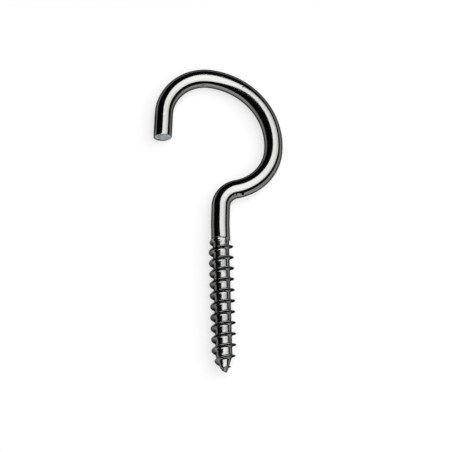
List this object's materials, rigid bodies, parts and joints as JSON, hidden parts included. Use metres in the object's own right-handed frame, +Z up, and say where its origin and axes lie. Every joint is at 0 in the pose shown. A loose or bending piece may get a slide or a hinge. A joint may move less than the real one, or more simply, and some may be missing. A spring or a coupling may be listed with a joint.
{
  "type": "screw hook",
  "caption": "Steel screw hook: a wire bent to an open round loop above a plain shank with a coarse wood thread and a blunt point.",
  "frame": {"origin": "on the surface that the hook lies on, under the middle of its outline", "axes": "+Y along the screw, from the point to the loop; +X to the side on which the loop bulges; +Z up from the surface"},
  "size_m": [0.0405, 0.1006, 0.0084],
  "materials": {
    "steel": "bright zinc-plated drawn steel wire, smooth and mirror-like on the bends, rolled and slightly mottled in the thread"
  },
  "bodies": {
    "root": {"screw_hook": "steel"}
  },
  "joints": []
}
